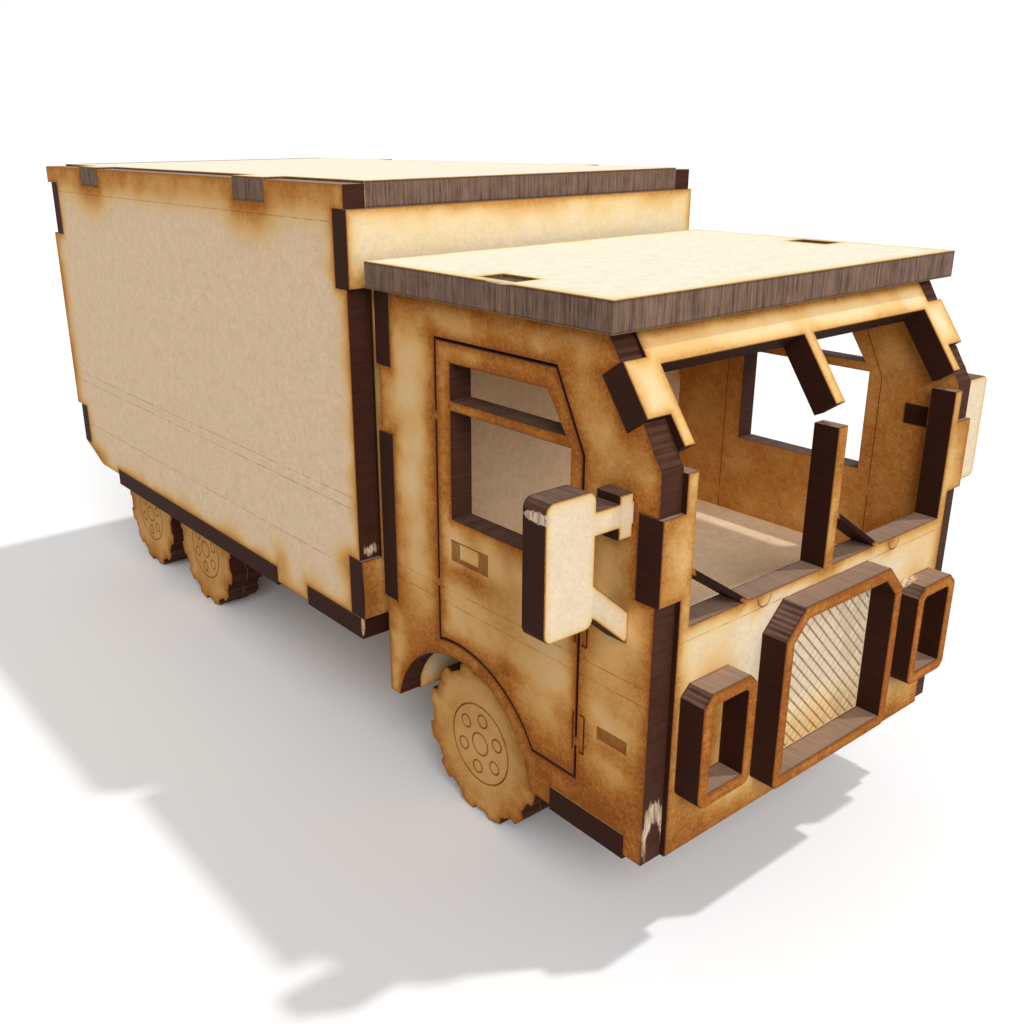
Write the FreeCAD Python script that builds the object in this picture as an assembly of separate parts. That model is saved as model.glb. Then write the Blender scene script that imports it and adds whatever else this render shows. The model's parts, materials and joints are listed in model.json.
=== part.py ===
"""Laser-cut fibreboard kit model of a three-axle box lorry, glued up from flat sheet pieces.

Millimetres, +Z up, front towards -Y, right-hand side towards -X.
Pieces are laid out from the cab wall's front edge (y = 0) and lower edge (z = 0).
At the end all of them are moved so that the origin is on the floor, at the middle of the model.
"""
import FreeCAD, Part
import math
import os

V = FreeCAD.Vector

# sheet and joints
sheet = 3.0             # thickness of the board that every flat piece is cut from
proud = 0.6             # how far a let-in tab stands out of the edge that holds it
slip = 0.05             # clearance at each side of a tab in its notch or slot
notch = sheet - proud   # depth of a notch for a tab

# cab
cab_width = 54.0        # over the two side walls
cab_length = 43.4       # side wall, front edge to rear edge
cab_height = 52.8       # side wall, lower edge to roof
slant_height = 11.5     # upper stretch of the front edge, which leans back
lean_run = 7.0          # how far it has leaned back at the roof
rear_foot = 1.2         # how much shorter the wall is behind the wheel arch
sill_height = 25.4      # lower edge of the windscreen opening
side_post = 1.4         # width of the outer windscreen posts
centre_post = 1.6       # width of the middle post
post_short = 0.5        # how far the upright posts stop below the kink
front_tab_below = 4.3   # from the kink down to the front panel's side tabs
front_tab_length = 8.5
frame_flatter = 3.5     # degrees that the leaning frame lies flatter than the wall's edge
frame_stand = 0.3       # how far its top lies in front of the wall's top corner
frame_foot = 1.8        # how much shorter it is than the wall's leaning edge
header_depth = 3.8      # its top rail
frame_tab = (2.9, 8.5)  # its side tabs, down from its top
roof_side_overhang = 1.5
roof_front_edge = 5.0   # behind the wall's front edge
roof_tab = (19.3, 24.7)             # side wall tab through the roof, from the front edge
tab_short = 0.3                     # how far that tab stops below the roof's top
back_tab_foot = 14.5                # lower end of the back wall's lower side tab
back_tab_gap = 8.1                  # wall between its two side tabs
back_tab_top = 8.8                  # height of the upper one, which ends at the roof
cab_floor_top = 17.7
floor_tab_width = 8.0
floor_tab_centre = 12.0
strip_to_wheel = 5.6                # from the strip under the cab's nose back to the front wheel

# door, cut as a thin outline that a few bridges hold
door_front = 9.4                    # from the wall's front edge
door_rear_margin = 10.7             # from the wall's rear edge
door_top_margin = 4.1               # from the roof
door_bottom = 5.3
door_lean_run = 4.0                 # how far its front edge leans back at the top
door_lean_start = 0.6               # below the kink
kerf = 0.3
bridge = 1.0
front_bridges = (4.5, 20.7)         # up from the door's foot
rear_bridge_low = 14.7              # up from the door's foot
rear_bridge_high = 8.7              # down from the door's top
arch_to_door = 1.9
window_frame_front = 1.9            # door's wood round its window
window_frame_rear = 2.7
window_frame_top = 2.5
window_frame_lean = 1.4
window_sill = 28.5
window_lean_drop = 0.3              # kink down to where the window's front edge starts to lean
window_bar = 1.1

# mirrors
mirror_front = 3.1                  # front face, behind the cab wall's front edge
mirror_arm_below = 3.3              # from the kink down to the upper arm
mirror_arm_height = 2.3
mirror_shoulder = (1.2, 0.8)        # how far the shoulder reaches below and above the arm
shoulder_width = 1.7
mirror_gap = 4.7                    # between cab wall and mirror plate
mirror_width = 6.0
mirror_above = 2.0                  # plate above the arm
mirror_below = 8.9                  # plate below the arm
mirror_corner = 1.0
stay_below = 12.1                   # from the arm down to the foot of the lower stay
stay_height = 3.3                   # of the stay at the wall
stay_rise = 4.1                     # how much higher it is at the mirror plate

# front trim
wiper_rise = 6.5                    # arm's upper end above the sill
wiper_drop = 7.7
wiper_run = 11.8
wiper_width = 0.7
lamp_to_grille = 4.2
grille = (3.5, 24.0)
grille_corner = 3.0
grille_foot_corner = 1.0
grille_rim = 1.4
lamp_margin = 3.8                   # from the cab wall's outer face
lamp_width = 8.2
lamp = (6.7, 19.3)
lamp_corner = 1.2
lamp_rim = 1.4

# box body
cab_to_box = 2.6                    # between the side walls' edges
box_wider = 2.3                     # how far the box stands out past the cab at each side
box_length = 99.6
box_floor_under = 7.95              # underside of the floor, above the cab wall's lower edge
box_wall_height = 50.3              # from the floor's top to the roof's underside
roof_stand = 0.3                    # how far the roof stands above the side walls
front_tab_low = 7.9                 # height of the front wall's lower side tabs
end_tab_high = 8.8                  # height of both end walls' upper side tabs
back_tab_rise = 2.25                # from the floor up to the back wall's lower side tabs
back_tab_low = 7.1                  # height of those
back_recess = 1.8                   # back wall's rear face, inside the side walls' rear edges
roof_tab_first = (18.2, 26.4)       # from the box's front edge
roof_tab_last = (25.0, 17.1)        # from its rear edge
floor_tab_first = (0.0, 13.7)       # from the box's front edge
floor_tab_last = (22.2, 17.6)       # from its front edge, and from its rear edge
clip_run = 9.9                      # side wall's clipped lower rear corner, from the rear edge
clip_foot = 9.9                     # height of the wall's lower edge there

# chassis and wheels
rail_foot = 2.4                     # lower edge between the axles
crosspiece_behind_cab = 6.2
crosspiece_before_bogie = 17.9      # middle crosspiece, before the first rear axle
crosspiece_from_end = 0.8           # last crosspiece, before the rails' rear ends
crosspiece_tab = (3.9, 6.4)
lobe_half = 4.2                     # half width of the rail round an axle
lobe_slope = 4.0
axle_below = 1.5                    # axle line below the cab wall's lower edge
axle_radius = 1.5
axle_play = 0.05                    # radial clearance of the axle in the rails
glue_play = 0.02                    # radial clearance of the axle in a wheel
last_axle = 11.3                    # from the box wall's rear edge
wheel_radius = 10.3
lugs = 12
lug_height = 0.8
lug_share = 0.42                    # part of the pitch that a lug's tip takes
lug_taper = 0.18                    # part of the pitch that each flank takes
wheel_to_back_wall = 1.6            # behind the front wheel
wheel_to_cab_wall = 0.2             # beside the front wheel
front_wheel_to_rail = 2.5
rear_wheel_to_rail = 0.5
wheel_to_wheel = 3.8                # between the two rear wheels
arch_gap = 2.3                      # round the front wheel
well_gap = 1.3                      # fore and aft of a rear wheel in the box floor

# places that follow from the sizes above
cab_half = cab_width / 2
cab_in = cab_half - sheet
kink_height = cab_height - slant_height
panel = (-proud, notch)             # front and back of the cab's front panel
cab_back = (cab_length - notch, cab_length + proud)
lean_length = math.hypot(lean_run, slant_height)
frame_lean = math.degrees(math.atan2(lean_run, slant_height)) + frame_flatter
frame_height = lean_length - frame_foot
door_rear = cab_length - door_rear_margin
door_top = cab_height - door_top_margin
mirror_arm = (kink_height - mirror_arm_below - mirror_arm_height, kink_height - mirror_arm_below)
box_half = cab_half + box_wider
box_in = box_half - sheet
box_front = cab_length + cab_to_box
box_rear = box_front + box_length
box_floor_top = box_floor_under + sheet
box_top = box_floor_top + box_wall_height
box_nose = (box_front - proud, box_front + notch)
box_tail = (box_rear - back_recess - sheet, box_rear - back_recess)
axle_line = -axle_below
front_axle = cab_back[0] - wheel_to_back_wall - wheel_radius
bogie = 2 * wheel_radius + wheel_to_wheel
rear_axles = (box_rear - last_axle - bogie, box_rear - last_axle)
strip_back = front_axle - wheel_radius - strip_to_wheel
front_wheel_face = cab_in - wheel_to_cab_wall
rail_outer = front_wheel_face - 2 * sheet - front_wheel_to_rail
rail_in = rail_outer - sheet
rear_wheel_face = rail_outer + rear_wheel_to_rail + 2 * sheet
crosspiece_places = (cab_back[1] + crosspiece_behind_cab, rear_axles[0] - crosspiece_before_bogie,
                     box_tail[1] - crosspiece_from_end - sheet)


def block(x, y, z):
    """A box from three (low, high) pairs."""
    return Part.makeBox(x[1] - x[0], y[1] - y[0], z[1] - z[0], V(x[0], y[0], z[0]))


def grown(span, by=slip):
    return (span[0] - by, span[1] + by)


def both(span):
    """The same stretch on the right-hand and on the left-hand side."""
    return ((-span[1], -span[0]), span)


def join(*shapes):
    whole = shapes[0]
    for shape in shapes[1:]:
        whole = whole.fuse(shape)
    return whole.removeSplitter()


def mirrored(shape):
    return shape.mirror(V(0, 0, 0), V(1, 0, 0))


def cut_sheet(points, facing, start, thick=sheet):
    """A flat piece with straight sides, its outline given in the plane that it faces along."""
    lift = {"x": lambda a, b: V(start, a, b), "y": lambda a, b: V(a, start, b),
            "z": lambda a, b: V(a, b, start)}[facing]
    push = {"x": V(thick, 0, 0), "y": V(0, thick, 0), "z": V(0, 0, thick)}[facing]
    corners = [lift(a, b) for a, b in points]
    return Part.Face(Part.makePolygon(corners + corners[:1])).extrude(push)


def rod(x, y, z, radius):
    """A round bar along X."""
    return Part.makeCylinder(radius, x[1] - x[0], V(x[0], y, z), V(1, 0, 0))


def leaned(shape):
    """Turns a piece laid out down from the leaning frame's top front edge into its place."""
    turned = shape.copy()
    turned.rotate(V(0, 0, 0), V(1, 0, 0), -frame_lean)
    turned.translate(V(0, lean_run - frame_stand, cab_height - slip))
    return turned


def frame_ring(x, z, rim, top_corner, foot_corner):
    """A flat ring on the front panel's face, with clipped top corners and rounded feet."""
    def outline(inset):
        left, right = x[0] + inset, x[1] - inset
        low, high = z[0] + inset, z[1] - inset
        clip = max(top_corner - inset * (2 - math.sqrt(2)), 0.2)
        points = [(left, low), (right, low), (right, high - clip), (right - clip, high),
                  (left + clip, high), (left, high - clip)]
        return cut_sheet(points, "y", panel[0] - sheet)
    ring = outline(0)
    feet = [edge for edge in ring.Edges
            if abs(edge.BoundBox.ZMax - z[0]) < 0.01 and edge.BoundBox.YLength > sheet / 2]
    ring = ring.makeFillet(foot_corner, feet)
    return ring.cut(outline(rim))


# tabs, each shared by the piece that has it and the piece that lets it in
def front_tabs(gap=0.0):
    top = kink_height - front_tab_below
    height = grown((top - front_tab_length, top), gap)
    return [block(side, panel, height) for side in both((cab_in, cab_half))]


def frame_tabs(gap=0.0):
    down = grown((-frame_tab[1], -frame_tab[0]), gap)
    return [leaned(block(side, (0, sheet), down)) for side in both((cab_in, cab_half))]


def back_tabs(gap=0.0):
    high = cab_height - back_tab_top
    heights = (grown((back_tab_foot, high - back_tab_gap), gap), (high - gap, cab_height))
    return [block(side, cab_back, z) for side in both((cab_in, cab_half)) for z in heights]


def cab_floor_tabs(gap=0.0):
    reach = (floor_tab_centre - floor_tab_width / 2, floor_tab_centre + floor_tab_width / 2)
    height = grown((cab_floor_top - sheet, cab_floor_top), gap)
    return [block(grown(side, gap), cab_back, height) for side in both(reach)]


def strip(gap=0.0):
    return block((-cab_half, cab_half), (notch, strip_back + gap), (-proud, notch))


def end_tabs(wall, gap=0.0):
    """Side tabs of the box's front or back wall; a notch for the recessed back wall stays open."""
    low = (box_floor_top, box_floor_top + front_tab_low + gap)
    reach = wall
    if wall == box_tail:
        foot = box_floor_top + back_tab_rise
        low = grown((foot, foot + back_tab_low), gap)
        reach = (wall[0], box_rear) if gap else wall
    high = (box_top - end_tab_high - gap, box_top)
    return [block(side, reach, z) for side in both((box_in, box_half)) for z in (low, high)]


def plate_tabs(places, z, gap=0.0):
    """Tabs of the box's roof or floor; one that starts at the front edge has no gap there."""
    tabs = []
    for low, high in places:
        start = low if low == box_front else low - gap
        for side in both((box_in, box_half)):
            tabs.append(block(side, (start, high + gap), z))
    return tabs


def roof_tabs(gap=0.0):
    places = ((box_front + roof_tab_first[0], box_front + roof_tab_first[1]),
              (box_rear - roof_tab_last[0], box_rear - roof_tab_last[1]))
    return plate_tabs(places, (box_top, box_top + sheet), gap)


def floor_tabs(gap=0.0):
    places = ((box_front + floor_tab_first[0], box_front + floor_tab_first[1]),
              (box_front + floor_tab_last[0], box_rear - floor_tab_last[1]))
    return plate_tabs(places, (box_floor_under, box_floor_top), gap)


def crosspiece_tabs(place, gap=0.0):
    across = grown((place, place + sheet), gap)
    height = grown(crosspiece_tab, gap)
    return [block(side, across, height) for side in both((rail_in, rail_outer))]


def door_outline(inset=0.0):
    """The door's edge as a closed face in the cab wall's plane, with its curve over the wheel.

    The front edge ends at the door's foot, or on the curve where the wheel is close in front.
    """
    radius = wheel_radius + arch_gap + arch_to_door + inset
    front, rear = door_front + inset, door_rear - inset
    low, high = door_bottom + inset, door_top - inset
    lean_foot = kink_height - door_lean_start
    lean_rise = door_top - lean_foot
    lean = math.hypot(door_lean_run, lean_rise)
    foot_drop = inset * (lean - lean_rise) / door_lean_run
    top_shift = inset * (lean - door_lean_run) / lean_rise

    def on_arc(angle):
        return V(0, front_axle - radius * math.cos(angle), axle_line + radius * math.sin(angle))
    end = math.pi - math.acos((rear - front_axle) / radius)
    start = math.asin((low - axle_line) / radius)
    foot = [V(0, front, low)]
    if on_arc(start).y <= front:
        start = math.acos((front_axle - front) / radius)
        foot = []
    points = [on_arc(end), V(0, rear, high), V(0, door_front + door_lean_run + top_shift, high),
              V(0, front, lean_foot - foot_drop)] + foot + [on_arc(start)]
    edges = [Part.LineSegment(points[i], points[i + 1]).toShape() for i in range(len(points) - 1)]
    edges.append(Part.Arc(on_arc(start), on_arc((start + end) / 2), on_arc(end)).toShape())
    return Part.Face(Part.Wire(edges))


def door_slot(across):
    """The thin cut round the door, less the bridges that hold it."""
    slot = door_outline().cut(door_outline(kerf)).extrude(V(across[1] - across[0], 0, 0))
    slot.translate(V(across[0], 0, 0))
    places = [(door_front, door_bottom + rise) for rise in front_bridges]
    places += [(door_rear, door_bottom + rear_bridge_low), (door_rear, door_top - rear_bridge_high)]
    for y, z in places:
        slot = slot.cut(block(across, grown((y, y), bridge), grown((z, z), bridge / 2)))
    return slot


def door_window(across):
    """The two panes of the door's window, with the bar left between them."""
    front, rear = door_front + window_frame_front, door_rear - window_frame_rear
    top = door_top - window_frame_top
    lean_foot = kink_height - window_lean_drop
    top_front = door_front + door_lean_run + window_frame_lean
    points = [(front, window_sill), (front, lean_foot), (top_front, top), (rear, top),
              (rear, window_sill)]
    bar = block(across, (front, rear), (lean_foot, lean_foot + window_bar))
    return cut_sheet(points, "x", across[0]).cut(bar)


def cab_side():
    """Right-hand wall: arch, door outline, window, and room for every tab that meets it."""
    across = (-cab_half, -cab_in)
    points = [(0, 0), (0, kink_height), (lean_run, cab_height), (cab_length, cab_height),
              (cab_length, rear_foot), (front_axle, rear_foot), (front_axle, 0)]
    arch = rod(across, front_axle, axle_line, wheel_radius + arch_gap)
    tab = block(across, roof_tab, (cab_height, cab_height + sheet - tab_short))
    wall = join(cut_sheet(points, "x", -cab_half).cut(arch), tab)
    arm_slot = block(across, grown((mirror_front, mirror_front + sheet)), grown(mirror_arm))
    cuts = [door_slot(across), door_window(across), arm_slot, strip(slip)]
    cuts += front_tabs(slip) + frame_tabs(slip) + back_tabs(slip)
    for piece in cuts:
        wall = wall.cut(piece)
    return wall


def front_panel():
    """Nose panel with sill, three thin posts, side tabs and the two slanting wiper arms."""
    plate = block((-cab_in, cab_in), panel, (0, sill_height))
    height = (0, kink_height - post_short)
    posts = [block(side, panel, height) for side in both((cab_in - side_post, cab_in))]
    posts.append(block((-centre_post / 2, centre_post / 2), panel, height))
    arms = []
    top = sill_height + wiper_rise
    for start in (-cab_in + side_post / 2, 0):
        points = [(start, top), (start + wiper_run, top - wiper_drop),
                  (start + wiper_run, top - wiper_drop - wiper_width), (start, top - wiper_width)]
        arms.append(cut_sheet(points, "y", panel[0]))
    return join(plate, *posts, *arms, *front_tabs())


def windscreen_frame():
    """Leaning frame: a top rail and three posts, all square cut, with a tab at each side."""
    down = (-frame_height, 0)
    pieces = [block((-cab_in, cab_in), (0, sheet), (-header_depth, 0))]
    for side in both((cab_in - side_post, cab_in)):
        pieces.append(block(side, (0, sheet), down))
    pieces.append(block((-centre_post / 2, centre_post / 2), (0, sheet), down))
    return join(*[leaned(piece) for piece in pieces], *frame_tabs())


def cab_roof():
    half = cab_half + roof_side_overhang
    plate = block((-half, half), (roof_front_edge, cab_length), (cab_height, cab_height + sheet))
    for side in both((cab_in, cab_half)):
        plate = plate.cut(block(grown(side), grown(roof_tab), (cab_height, cab_height + sheet)))
    return plate


def cab_back_wall():
    """Rear wall of the cab, notched over the rails and slotted for the floor's tabs."""
    plate = join(block((-cab_in, cab_in), cab_back, (rear_foot, cab_height)), *back_tabs())
    for side in both((rail_in, rail_outer)):
        plate = plate.cut(block(grown(side), cab_back, (rear_foot, box_floor_under + slip)))
    for tab in cab_floor_tabs(slip):
        plate = plate.cut(tab)
    return plate


def cab_floor():
    plate = block((-cab_in, cab_in), (notch, cab_back[0]), (cab_floor_top - sheet, cab_floor_top))
    return join(plate, *cab_floor_tabs())


def mirror():
    """Right-hand mirror: plate, arm with shoulder and tab, and the slanting lower stay."""
    inner = cab_half + mirror_gap
    outer = inner + mirror_width
    depth = (mirror_front, mirror_front + sheet)
    arm_foot, arm_top = mirror_arm
    plate = block((-outer, -inner), depth, (arm_foot - mirror_below, arm_top + mirror_above))
    corners = [edge for edge in plate.Edges if edge.BoundBox.YLength > sheet / 2]
    plate = plate.makeFillet(mirror_corner, corners)
    overlap = mirror_corner
    arm = block((-inner - overlap, -cab_in), depth, mirror_arm)
    shoulder = block((-cab_half - shoulder_width, -cab_half), depth,
                     (arm_foot - mirror_shoulder[0], arm_top + mirror_shoulder[1]))
    foot = arm_foot - stay_below
    rise = stay_rise * (mirror_gap + overlap) / mirror_gap
    points = [(-cab_half, foot), (-cab_half, foot + stay_height),
              (-inner - overlap, foot + stay_height + rise), (-inner - overlap, foot + rise)]
    stay = cut_sheet(points, "y", mirror_front)
    return join(plate, arm, shoulder, stay)


def box_side():
    """Right-hand wall of the box: a clipped rear corner, and notches for every plate's tabs."""
    top = box_top + sheet - roof_stand
    back_foot = box_floor_top + back_tab_rise
    tab_end = box_rear - floor_tab_last[1]
    low = box_floor_top - notch
    points = [(box_front, low), (box_front, top), (box_rear, top), (box_rear, back_foot),
              (box_tail[1], back_foot), (box_rear - clip_run, clip_foot), (tab_end, clip_foot),
              (tab_end, low)]
    wall = cut_sheet(points, "x", -box_half)
    for tab in roof_tabs(slip) + floor_tabs(slip) + end_tabs(box_nose, slip) + end_tabs(box_tail, slip):
        wall = wall.cut(tab)
    return wall


def box_roof():
    plate = block((-box_in, box_in), (box_front, box_tail[0]), (box_top, box_top + sheet))
    return join(plate, *roof_tabs())


def box_floor():
    """Floor with a slot over each rear wheel, whose lugs reach up into it."""
    height = (box_floor_under, box_floor_top)
    plate = join(block((-box_in, box_in), (box_front, box_tail[1]), height), *floor_tabs())
    rise = box_floor_under - axle_line
    reach = math.sqrt(max(wheel_radius ** 2 - rise ** 2, 0)) + well_gap
    across = (rail_outer, rear_wheel_face + rear_wheel_to_rail)
    for place in rear_axles:
        for side in both(across):
            plate = plate.cut(block(side, (place - reach, place + reach), height))
    return plate


def box_end(wall, top):
    plate = block((-box_in, box_in), wall, (box_floor_top, top))
    return join(plate, *end_tabs(wall))


def rail():
    """Right-hand chassis rail: a straight strip with a deeper lobe round each axle hole."""
    low = axle_line - axle_radius - sheet / 2
    edge = [(notch, box_floor_under), (notch, rail_foot)]
    lobes = [(front_axle, front_axle), rear_axles]
    for first, last in lobes:
        edge += [(first - lobe_half - lobe_slope, rail_foot), (first - lobe_half, low),
                 (last + lobe_half, low), (last + lobe_half + lobe_slope, rail_foot)]
    edge += [(box_tail[1], rail_foot), (box_tail[1], box_floor_under)]
    plate = cut_sheet(edge, "x", -rail_outer)
    for place in (front_axle,) + rear_axles:
        plate = plate.cut(rod((-rail_outer, -rail_in), place, axle_line, axle_radius + axle_play))
    for place in crosspiece_places:
        for tab in crosspiece_tabs(place, slip):
            plate = plate.cut(tab)
    return plate


def crosspiece(place):
    plate = block((-rail_in, rail_in), (place, place + sheet), (rail_foot, box_floor_under))
    return join(plate, *crosspiece_tabs(place))


def wheel_disc(face, place, bored):
    """One lugged disc whose outer face is at x = -face; the inner disc is bored for the axle."""
    pitch = 2 * math.pi / lugs
    tip, root = wheel_radius, wheel_radius - lug_height
    half_tip = pitch * lug_share / 2
    half_root = half_tip + pitch * lug_taper / 2

    def at(radius, angle):
        return V(-face, place + radius * math.sin(angle), axle_line - radius * math.cos(angle))
    edges = []
    for i in range(lugs):
        middle = (i + 0.5) * pitch
        left_root, left_tip = at(root, middle - half_root), at(tip, middle - half_tip)
        right_tip, right_root = at(tip, middle + half_tip), at(root, middle + half_root)
        next_root = at(root, middle + pitch - half_root)
        edges.append(Part.LineSegment(left_root, left_tip).toShape())
        edges.append(Part.Arc(left_tip, at(tip, middle), right_tip).toShape())
        edges.append(Part.LineSegment(right_tip, right_root).toShape())
        edges.append(Part.Arc(right_root, at(root, middle + pitch / 2), next_root).toShape())
    disc = Part.Face(Part.Wire(edges)).extrude(V(sheet, 0, 0))
    if bored:
        disc = disc.cut(rod((-face, -face + sheet), place, axle_line, axle_radius + glue_play))
    return disc


def wheel_set(name, place, face):
    """A dowel axle and two wheels, each glued up from a blind outer disc and a bored inner one."""
    outer = wheel_disc(face, place, False)
    inner = wheel_disc(face - sheet, place, True)
    half = face - sheet
    return {
        name + "_axle": rod((-half, half), place, axle_line, axle_radius),
        name + "_wheel_right_outer": outer,
        name + "_wheel_right_inner": inner,
        name + "_wheel_left_outer": mirrored(outer),
        name + "_wheel_left_inner": mirrored(inner),
    }


def build():
    lamp_x = (lamp_margin - cab_half, lamp_margin - cab_half + lamp_width)
    grille_x = (lamp_x[1] + lamp_to_grille, -lamp_x[1] - lamp_to_grille)
    right = {
        "cab_side": cab_side(),
        "lamp_frame": frame_ring(lamp_x, lamp, lamp_rim, lamp_corner, lamp_corner),
        "mirror": mirror(),
        "box_side": box_side(),
        "chassis_rail": rail(),
    }
    nodes = {
        "cab_front_panel": front_panel(),
        "windscreen_frame": windscreen_frame(),
        "cab_roof": cab_roof(),
        "cab_back_wall": cab_back_wall(),
        "cab_floor": cab_floor(),
        "cab_nose_strip": strip(),
        "grille_frame": frame_ring(grille_x, grille, grille_rim, grille_corner,
                                   grille_foot_corner),
        "box_roof": box_roof(),
        "box_floor": box_floor(),
        "box_front_wall": box_end(box_nose, box_top),
        "box_back_wall": box_end(box_tail, box_top + sheet),
    }
    for name, shape in right.items():
        nodes[name + "_right"] = shape
        nodes[name + "_left"] = mirrored(shape)
    for name, place in zip(("front", "middle", "rear"), crosspiece_places):
        nodes["crosspiece_" + name] = crosspiece(place)
    nodes.update(wheel_set("front", front_axle, front_wheel_face))
    nodes.update(wheel_set("rear_first", rear_axles[0], rear_wheel_face))
    nodes.update(wheel_set("rear_second", rear_axles[1], rear_wheel_face))
    return nodes


def main():
    """Builds every piece, moves the origin to the floor under the middle, and writes the files."""
    os.makedirs("parts", exist_ok=True)
    nodes = build()
    whole = FreeCAD.BoundBox()
    for shape in nodes.values():
        whole.add(shape.optimalBoundingBox(False))
    to_floor = V(0, -(whole.YMin + whole.YMax) / 2, -whole.ZMin)
    volume = 0.0
    for name, shape in nodes.items():
        placed = shape.copy()
        placed.translate(to_floor)
        volume += placed.Volume
        if not placed.isValid() or len(placed.Solids) != 1:
            print("check", name, placed.isValid(), len(placed.Solids))
        placed.exportStep("parts/" + name + ".step")
    print("moved by", [round(v, 4) for v in to_floor], "volume mm3", round(volume, 1))
    print("size", [round(v, 3) for v in (whole.XLength, whole.YLength, whole.ZLength)])
    for name, place in zip(("front", "rear first", "rear second"), (front_axle,) + rear_axles):
        print(name, "axle at y", round(place + to_floor.y, 3), "z", round(axle_line + to_floor.z, 3))


main()
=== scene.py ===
# %% [markdown]
# # A laser-cut fibreboard truck
# The real thing is a small model glued up from flat pieces of thin fibreboard. A laser cut them,
# so every cut edge is charred dark brown, a scorched halo runs along each edge on the pale faces,
# and fine lines are engraved where a door, a lamp or a panel joint would be.
# The solids come from the frame. This script gives each flat piece a fine mesh of its own, because
# the scorch follows the distance to the nearest cut, and a mesh can carry that distance.

# %% Frame
import json
import math

import bpy
import numpy as np
from mathutils import Matrix, Vector
from mathutils.geometry import delaunay_2d_cdt


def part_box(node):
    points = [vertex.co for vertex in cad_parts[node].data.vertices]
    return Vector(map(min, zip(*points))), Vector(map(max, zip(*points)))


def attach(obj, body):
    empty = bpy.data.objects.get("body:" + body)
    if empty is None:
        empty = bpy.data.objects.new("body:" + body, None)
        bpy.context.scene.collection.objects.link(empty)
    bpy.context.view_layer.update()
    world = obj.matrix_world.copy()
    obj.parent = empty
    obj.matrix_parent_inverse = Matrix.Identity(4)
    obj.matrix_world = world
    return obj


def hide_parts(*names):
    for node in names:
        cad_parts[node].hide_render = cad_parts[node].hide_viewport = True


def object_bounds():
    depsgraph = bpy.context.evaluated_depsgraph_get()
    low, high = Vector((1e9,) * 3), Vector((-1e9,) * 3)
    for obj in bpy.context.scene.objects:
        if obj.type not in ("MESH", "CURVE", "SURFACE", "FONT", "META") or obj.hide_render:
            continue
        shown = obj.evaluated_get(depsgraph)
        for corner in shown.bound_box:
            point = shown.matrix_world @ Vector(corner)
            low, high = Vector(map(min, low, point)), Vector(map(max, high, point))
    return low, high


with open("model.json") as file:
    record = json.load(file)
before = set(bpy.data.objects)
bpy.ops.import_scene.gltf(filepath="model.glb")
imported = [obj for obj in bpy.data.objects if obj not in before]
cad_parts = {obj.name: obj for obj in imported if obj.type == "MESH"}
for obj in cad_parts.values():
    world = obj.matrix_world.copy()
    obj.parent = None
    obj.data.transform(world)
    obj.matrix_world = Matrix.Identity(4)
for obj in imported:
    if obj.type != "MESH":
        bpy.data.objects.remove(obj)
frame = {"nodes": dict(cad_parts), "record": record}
cad_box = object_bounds()
nodes = frame["nodes"]
MM = 0.001
sheet = 3.0
wall_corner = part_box("cab_side_right")[0] / MM
body_of_node = {n: b for b, ns in frame["record"]["behaviour"]["bodies"].items() for n in ns}

# %% [markdown]
# ## Camera
# The photograph was taken from close by, so the near corner of the cab looms large. The camera's
# place, direction and focal length were worked out from the model's corners. Its place is given
# in millimetres from the lower front corner of the cab's right-hand wall. Its picture is a little
# off the lens's axis, which the two shifts stand for.

# %% Camera
eye = (Vector((-66.7, -56.82, 69.49)) + wall_corner) * MM
heading, dip, roll = math.radians(-38.66), math.radians(19.74), math.radians(-0.49)
picture = 1024
focal_pixels = 1044.36
axis_pixel = (470.54, 504.75)
sensor = 36.0
nearest, farthest = 0.005, 20


def placed(name, data):
    """A new object in the scene."""
    made = bpy.data.objects.new(name, data)
    bpy.context.scene.collection.objects.link(made)
    return made


forward = Vector((-math.sin(heading) * math.cos(dip), math.cos(heading) * math.cos(dip),
                  -math.sin(dip)))
level = Vector((math.cos(heading), math.sin(heading), 0))
upright = level.cross(forward)
right = math.cos(roll) * level + math.sin(roll) * upright
up = -math.sin(roll) * level + math.cos(roll) * upright
camera = placed("camera", bpy.data.cameras.new("camera"))
turn = Matrix((right, up, -forward)).transposed().to_4x4()
camera.matrix_world = Matrix.Translation(eye) @ turn
camera.data.sensor_width = sensor
camera.data.lens = sensor * focal_pixels / picture
camera.data.shift_x = (picture / 2 - axis_pixel[0]) / picture
camera.data.shift_y = (axis_pixel[1] - picture / 2) / picture
camera.data.clip_start, camera.data.clip_end = nearest, farthest
bpy.context.scene.camera = camera
print("lens", round(camera.data.lens, 2), "shift", camera.data.shift_x, camera.data.shift_y)

# %% [markdown]
# ## Nodes in one call
# Every node here, in a material or in a geometry tree, is made by one call that takes its kind, its
# settings, which come first, and its inputs, each a value or a link. That keeps a tree short
# enough to read.

# %% Nodes in one call


def set_inputs(tree, node, **values):
    """Links or sets a node's inputs; i0, i1 and so on name them by number."""
    for key, value in values.items():
        if key[1:].isdigit():
            socket = node.inputs[int(key[1:])]
        else:
            label = key.replace("_", " ")
            socket = next(i for i in node.inputs if i.name == label and i.enabled)
        if isinstance(value, Shade):
            value = value.socket
        elif isinstance(value, bpy.types.Node):
            value = next(o for o in value.outputs if o.enabled)
        if isinstance(value, bpy.types.NodeSocket):
            tree.links.new(value, socket)
        else:
            socket.default_value = value


def set_stops(stops, ramp):
    """A colour ramp's stops, each a position and a colour."""
    while len(stops) < len(ramp):
        stops.new(0.5)
    for stop, (position, colour) in zip(stops, ramp):
        stop.position, stop.color = position, (*colour, 1)


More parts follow.
